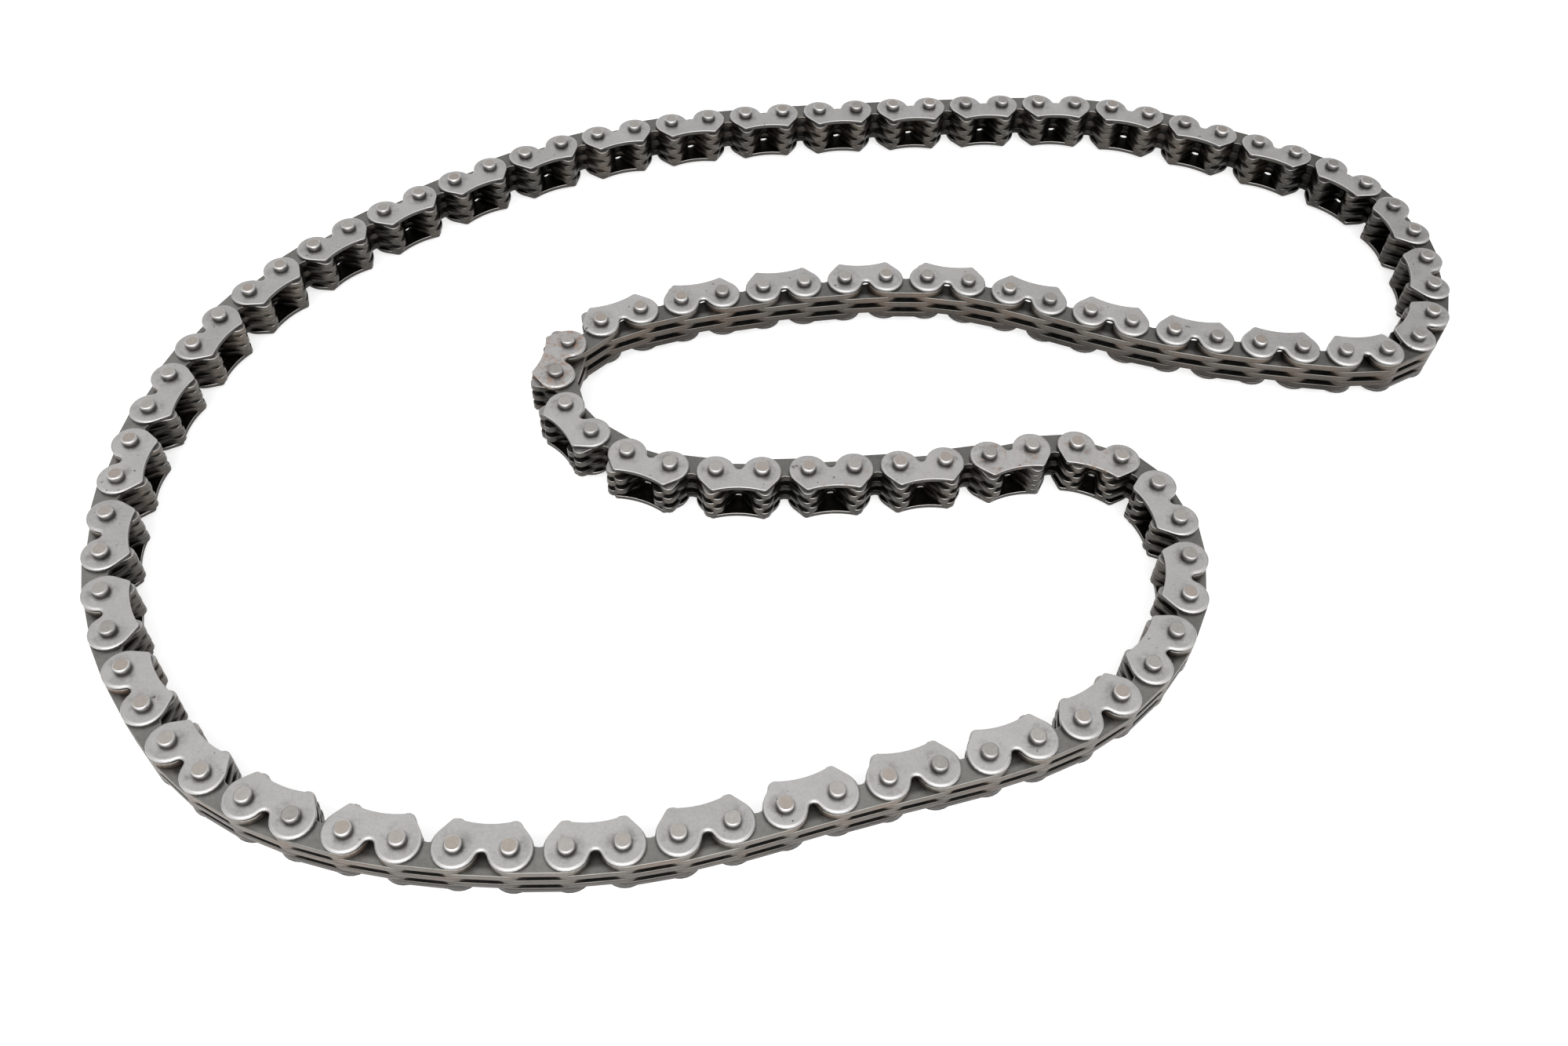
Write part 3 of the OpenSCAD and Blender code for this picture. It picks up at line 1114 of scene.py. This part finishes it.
class Route:
    """Reads from the frame where the pins stand."""

    def __init__(self, made: dict[str, Any]) -> None:
        """Reads all segments.

        A segment's pins start at its joint, and the root's after the last segment's last pin.
        """
        bodies = sorted(made["bodies"])
        # The digits that end the names of a body and of its nodes
        numbers = {body: body[-2:] for body in bodies}
        joints = {joint["child"]: Vector(joint["pos_m"][:2]) for joint in made["joints"]}
        ordered: dict[str, list[Vector]] = {}
        for body in reversed(bodies):
            start = joints[body] if body in joints else ordered[bodies[-1]][-1]
            ordered[body] = self.walk(self.pins_in(made["nodes"]["rivet_pins_" + numbers[body]]), start)
        self.segments = []
        guides = 0
        for body, after in zip(bodies, bodies[1:] + bodies[:1]):
            pins = [*ordered[body], ordered[after][0]]
            self.segments.append(Segment(body, numbers[body], pins, guides))
            guides += len(ordered[body]) // 2

    @staticmethod
    def pins_in(node: Object) -> list[Vector]:
        """Finds the axis of each pin in a node of separate pins.

        Args:
            node: the CAD node.

        Returns:
            The axes' places.
        """
        clusters: list[list[Vector]] = []
        for vert in node.data.vertices:
            point = vert.co.to_2d()
            home = next((near for near in clusters if (near[0] - point).length < SIZES.pitch / 2), None)
            if home is None:
                clusters.append([point])
            else:
                home.append(point)
        middles = []
        for cluster in clusters:
            xs, ys = [point.x for point in cluster], [point.y for point in cluster]
            middles.append(Vector((min(xs) + max(xs), min(ys) + max(ys))) / 2)
        return middles

    @staticmethod
    def walk(pins: list[Vector], start: Vector) -> list[Vector]:
        """Puts pins in the order in which they follow each other.

        Args:
            pins: the pins of one segment.
            start: a place at or just before the first of them.

        Returns:
            The pins in order.
        """
        left, ordered = list(pins), [start]
        while left:
            following = min(left, key=lambda pin: (pin - ordered[-1]).length)
            left.remove(following)
            ordered.append(following)
        return ordered[1:]


@dataclass
class Copy:
    """One copy of a shape: its place, its lightness from -1 to 1 and its rust from 0 to 1."""

    shape: Mesh
    at: Matrix
    tone: float
    stain: float = 0.0


@dataclass
class Assembly(ABC):
    """Joins copies of shapes into one piece for each segment."""

    prefix: str
    finish: Finish
    seed: int

    @abstractmethod
    def shapes(self) -> Shapes:
        """Makes the shapes to be copied."""

    @abstractmethod
    def copies(self, segment: Segment, shapes: Shapes, draw: random.Random) -> Iterator[Copy]:
        """Goes through the copies in one segment, with random differences."""

    def build(self, segments: list[Segment]) -> None:
        """Builds the piece of every segment.

        Args:
            segments: the chain's segments.
        """
        material = self.finish.material()
        shapes = self.shapes()
        draw = random.Random(self.seed)
        for segment in segments:
            mesh = bmesh.new()
            for name in MARKS:
                mesh.faces.layers.float.new(name)
            mesh.loops.layers.uv.new(UV_NAME)
            for copy in self.copies(segment, shapes, draw):
                self.add(mesh, copy)
            self.place(mesh, segment, material)

    @staticmethod
    def add(mesh: BMesh, copy: Copy) -> None:
        """Adds one copy to a piece.

        Args:
            mesh: the piece.
            copy: what to add.
        """
        first_vert, first_face = len(mesh.verts), len(mesh.faces)
        mesh.from_mesh(copy.shape)
        mesh.verts.ensure_lookup_table()
        mesh.faces.ensure_lookup_table()
        bmesh.ops.transform(mesh, matrix=copy.at, verts=mesh.verts[first_vert:])
        tones, stains = mesh.faces.layers.float["tone"], mesh.faces.layers.float["stain"]
        for face in mesh.faces[first_face:]:
            face[tones] = copy.tone
            face[stains] = copy.stain

    def place(self, mesh: BMesh, segment: Segment, material: Material) -> None:
        """Makes the mesh a piece that stands for its CAD node.

        Args:
            mesh: the piece's mesh.
            segment: the segment it belongs to.
            material: its finish.
        """
        name = self.prefix + segment.number
        data = stored(mesh, name + "_looks")
        data.materials.append(material)
        piece = bpy.data.objects.new(name + "_looks", data)
        bpy.context.scene.collection.objects.link(piece)
        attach(piece, segment.body)
        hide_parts(name)
        log.info("%s: %d faces", piece.name, len(data.polygons))


def link_place(start: Vector, end: Vector, height: float) -> Matrix:
    """The matrix that takes a plate to its two pins, with its underside at a height."""
    way = end - start
    return Matrix.Translation((*start, height)) @ Matrix.Rotation(math.atan2(way.y, way.x), 4, "Z")


# Numbers of the guide links whose upper plates are rusty, with how much
STAINS = {32: 1.0, 26: 0.7, 25: 0.5, 30: 0.3, 27: 0.35, 28: 0.3, 19: 0.3, 29: 0.3}


@dataclass
class GuidePlates(Assembly):
    """Outer guide plates, one above and one below each guide link."""

    prefix: str = "guide_plates_"
    finish: Finish = GuideSteel()
    seed: int = 1
    shape: GuideShape = field(default_factory=GuideShape)
    lower_stain: float = 0.2

    def shapes(self) -> Shapes:
        """Makes the lower and the upper plate, whose rolled rims face outwards."""
        return [self.shape.build(side) for side in Side]

    def copies(self, segment: Segment, shapes: Shapes, draw: random.Random) -> Iterator[Copy]:
        """Goes through the plates below and above each guide link.

        Args:
            segment: the segment.
            shapes: what to copy.
            draw: the random draws.

        Yields:
            The copies.
        """
        for number, start, end in segment.links(Link.GUIDE):
            stains = (self.lower_stain, STAINS.get(number, 0.0))
            for shape, height, stain in zip(shapes, (SIZES.guide_z, SIZES.upper_z), stains):
                yield Copy(shape, link_place(start, end, height), draw.uniform(-1, 1), stain)


@dataclass
class ToothedPlates(Assembly):
    """Toothed plates in every second layer: two on each guide link and three on each inner link."""

    prefix: str = "toothed_plates_"
    finish: Finish = ToothedSteel()
    seed: int = 2
    shape: ToothedShape = field(default_factory=ToothedShape)

    def shapes(self) -> Shapes:
        """Makes the one plate."""
        return [self.shape.build()]

    def copies(self, segment: Segment, shapes: Shapes, draw: random.Random) -> Iterator[Copy]:
        """Goes through the layers of each link.

        Args:
            segment: the segment.
            shapes: what to copy.
            draw: the random draws.

        Yields:
            The copies.
        """
        for kind, lowest in ((Link.GUIDE, 1), (Link.INNER, 0)):
            for _, start, end in segment.links(kind):
                for layer in range(lowest, SIZES.layers, 2):
                    height = SIZES.toothed_z + layer * SIZES.layer
                    yield Copy(shapes[0], link_place(start, end, height), draw.uniform(-1, 1))


@dataclass
class RivetPins(Assembly):
    """Pins with their riveted ends, in a few variants."""

    prefix: str = "rivet_pins_"
    finish: Finish = PinSteel()
    seed: int = 3
    shape: PinShape = field(default_factory=PinShape)
    variants: int = 4

    def shapes(self) -> Shapes:
        """Makes the variants."""
        return [self.shape.build(seed) for seed in range(self.variants)]

    def copies(self, segment: Segment, shapes: Shapes, draw: random.Random) -> Iterator[Copy]:
        """Goes through the segment's own pins.

        Args:
            segment: the segment.
            shapes: what to copy.
            draw: the random draws.

        Yields:
            The copies.
        """
        for pin in segment.pins[:-1]:
            turn = Matrix.Rotation(draw.uniform(0, 2 * math.pi), 4, "Z")
            yield Copy(draw.choice(shapes), Matrix.Translation((*pin, 0)) @ turn, draw.uniform(-1, 1))


# The photographer's side


@dataclass
class Studio:
    """White table, soft light from all round, a window in front, and the camera.

    The room's zones are parts of the direction light comes from: x to the right, y to the back, z up.
    """

    eye: Vector = field(default_factory=lambda: Vector((-4.806, -144.843, 161.401)) * MM)
    look_down: float = 51.749
    roll: float = 3.009
    lens: float = 33.886
    sensor: float = 36.0
    clip: tuple[float, float] = (0.01, 20.0)
    table_size: float = 6.0
    table_grey: float = 0.65
    table_roughness: float = 0.9
    table_glow: float = 0.55
    # The room
    horizon: float = 0.42
    zenith: float = 1.08
    sky_rise: Zone = (0.3, 0.85)
    front: float = 0.8
    front_y: Zone = (0.0, -0.6)
    front_z: Zone = (0.0, 0.4)
    corner: float = 0.35
    corner_x: Zone = (0.15, 0.42)
    corner_y: Zone = (0.3, 0.6)
    corner_z: Zone = (0.8, 0.6)
    behind: float = 0.35
    behind_y: Zone = (0.5, 0.8)
    behind_z: Zone = (0.5, 0.25)
    window_at: tuple[float, float, float] = (0.1, -1.2, 0.9)
    window_size: float = 1.6
    window_watts: float = 10.0

    def camera(self) -> None:
        """Stands the camera where the photograph was taken from."""
        down, roll = math.radians(self.look_down), math.radians(self.roll)
        forward = Vector((0, math.cos(down), -math.sin(down)))
        level, upright = Vector((1, 0, 0)), Vector((0, math.sin(down), math.cos(down)))
        right = math.cos(roll) * level + math.sin(roll) * upright
        up = math.cos(roll) * upright - math.sin(roll) * level
        data = bpy.data.cameras.new("camera")
        data.lens, data.sensor_width, data.sensor_fit = self.lens, self.sensor, "HORIZONTAL"
        data.clip_start, data.clip_end = self.clip
        camera = bpy.data.objects.new("camera", data)
        turn = Matrix((right, up, -forward)).transposed().to_4x4()
        camera.matrix_world = Matrix.Translation(self.eye) @ turn
        bpy.context.scene.collection.objects.link(camera)
        bpy.context.scene.camera = camera

    def table(self) -> None:
        """Lays the pale table that the chain lies on."""
        mesh = bmesh.new()
        bmesh.ops.create_grid(mesh, x_segments=1, y_segments=1, size=self.table_size / 2)
        data = stored(mesh, "table")
        finish = {
            "Base Color": (*(self.table_grey,) * 3, 1.0),
            "Roughness": self.table_roughness,
            "Emission Color": (1.0, 1.0, 1.0, 1.0),
            "Emission Strength": self.table_glow,
        }
        data.materials.append(NodeMaker.for_material("table").finish(finish))
        table = bpy.data.objects.new("table", data)
        bpy.context.scene.collection.objects.link(table)
        table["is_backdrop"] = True

    def room(self) -> None:
        """Lights the room: most from above and from the front, least from the far corner on the right."""
        world = bpy.data.worlds.new("room")
        world.use_nodes = True
        make = NodeMaker(world.node_tree)
        x, y, z = make.split(make.node("ShaderNodeTexCoord", {}, {}, "Generated"), "XYZ")
        sky = z.between(*self.sky_rise) * (self.zenith - self.horizon) + self.horizon
        in_front = y.between(*self.front_y) * z.between(*self.front_z) * self.front
        in_corner = x.between(*self.corner_x) * y.between(*self.corner_y) * z.between(*self.corner_z)
        behind = y.between(*self.behind_y) * z.between(*self.behind_z) * self.behind
        strength = sky * (1 - in_corner * self.corner) + in_front + behind
        light = {"Color": (1.0, 1.0, 1.0, 1.0), "Strength": strength}
        make.node("ShaderNodeOutputWorld", {}, {"Surface": make.node("ShaderNodeBackground", {}, light)})
        bpy.context.scene.world = world

    def window(self) -> None:
        """Hangs a soft square lamp that faces the chain."""
        at = Vector(self.window_at)
        data = bpy.data.lights.new("window", "AREA")
        data.shape, data.size, data.energy = "SQUARE", self.window_size, self.window_watts
        lamp = bpy.data.objects.new("window", data)
        lamp.matrix_world = Matrix.Translation(at) @ (-at).to_track_quat("-Z", "Y").to_matrix().to_4x4()
        bpy.context.scene.collection.objects.link(lamp)

    def build(self) -> None:
        """Sets up everything round the chain."""
        self.camera()
        self.table()
        self.room()
        self.window()
        bpy.context.scene.view_settings.view_transform = "Standard"
        log.info("studio ready")


def write_sizes() -> None:
    """Puts the CAD model's box and the visual model's box into lists, which are not kept."""
    boxes = {"cad": BOX_AT_START, "visual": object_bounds()}
    {name: [list(corner) for corner in corners] for name, corners in boxes.items()}


def main() -> None:
    """Builds the studio and the chain."""
    logging.basicConfig(level=logging.INFO, format="%(name)s: %(message)s")
    Studio().build()
    segments = Route(frame).segments
    for assembly in (GuidePlates(), ToothedPlates(), RivetPins()):
        assembly.build(segments)
    write_sizes()


if __name__ == "__main__":
    main()
